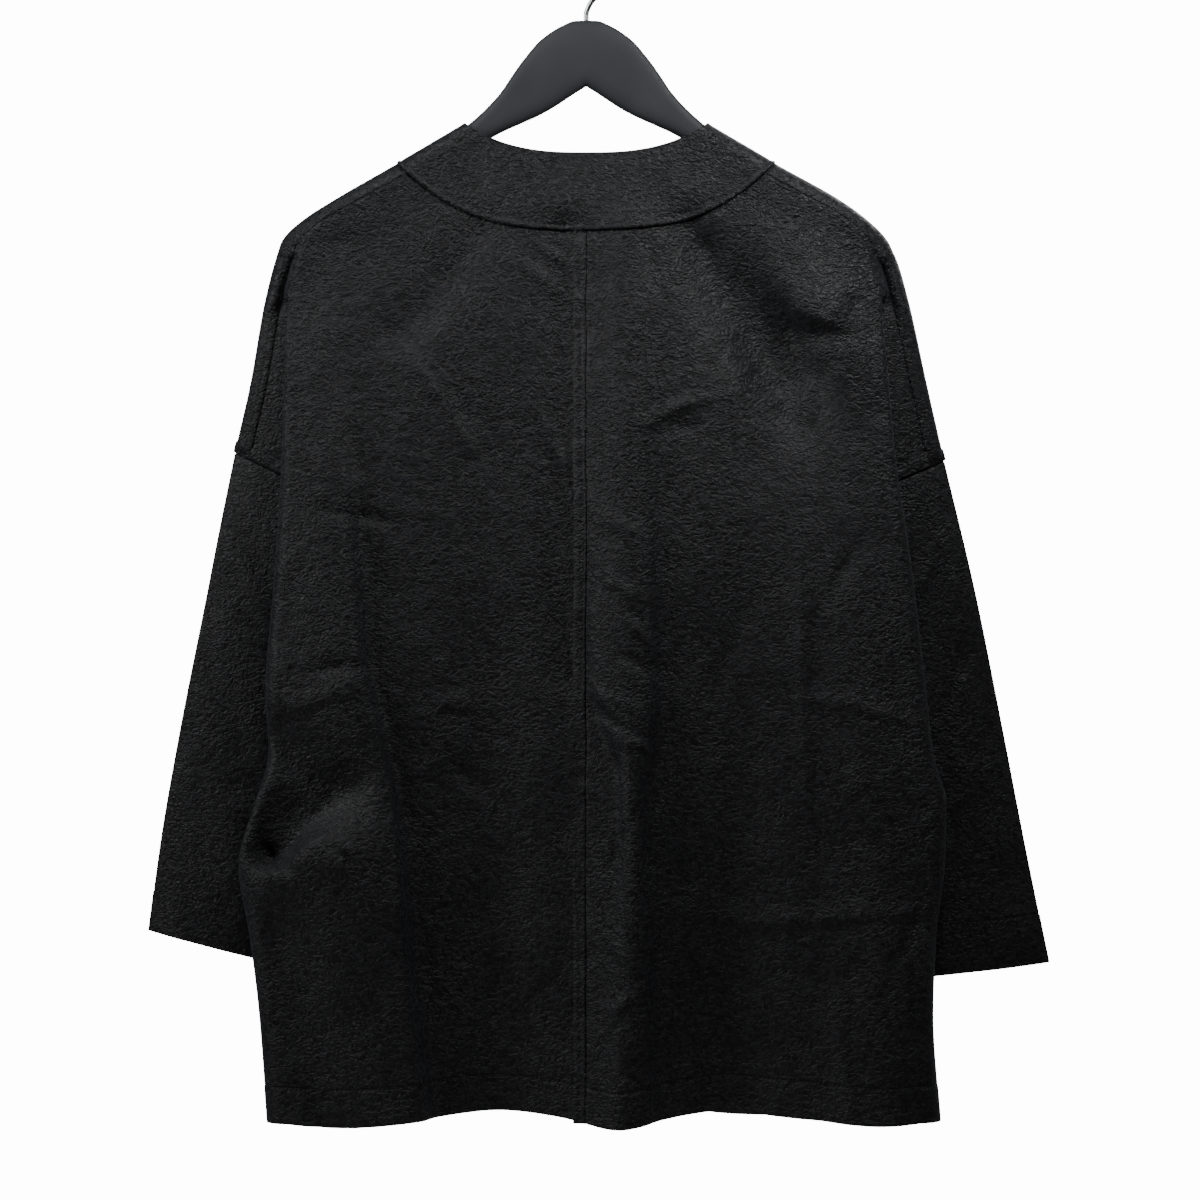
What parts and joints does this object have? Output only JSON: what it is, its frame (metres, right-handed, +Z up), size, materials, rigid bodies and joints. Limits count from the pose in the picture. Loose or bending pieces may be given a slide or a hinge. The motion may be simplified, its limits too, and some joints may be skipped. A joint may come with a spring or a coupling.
{
  "type": "tunic on a coat hanger",
  "caption": "Loose hip-length tunic with a wide shaped neck band and straight dropped sleeves, hanging from a moulded coat hanger, seen from its back.",
  "frame": {"origin": "the inner top of the hook's bend, where the hook hangs on a rod", "axes": "+Z up, +X to the right as the picture shows the tunic's back, -Y from the hanger towards the viewer of the back, so the front faces +Y"},
  "size_m": [0.6507, 0.1253, 0.8557],
  "materials": {
    "cloth": "black crinkled woven cloth with a soft sheen",
    "hanger": "matte charcoal moulding",
    "steel": "plated steel wire"
  },
  "bodies": {
    "root": {"back_left": "cloth", "back_right": "cloth", "front": "cloth", "band_back": "cloth", "band_front": "cloth", "sleeve_left": "cloth", "sleeve_right": "cloth", "hanger": "hanger", "hook": "steel"}
  },
  "joints": []
}
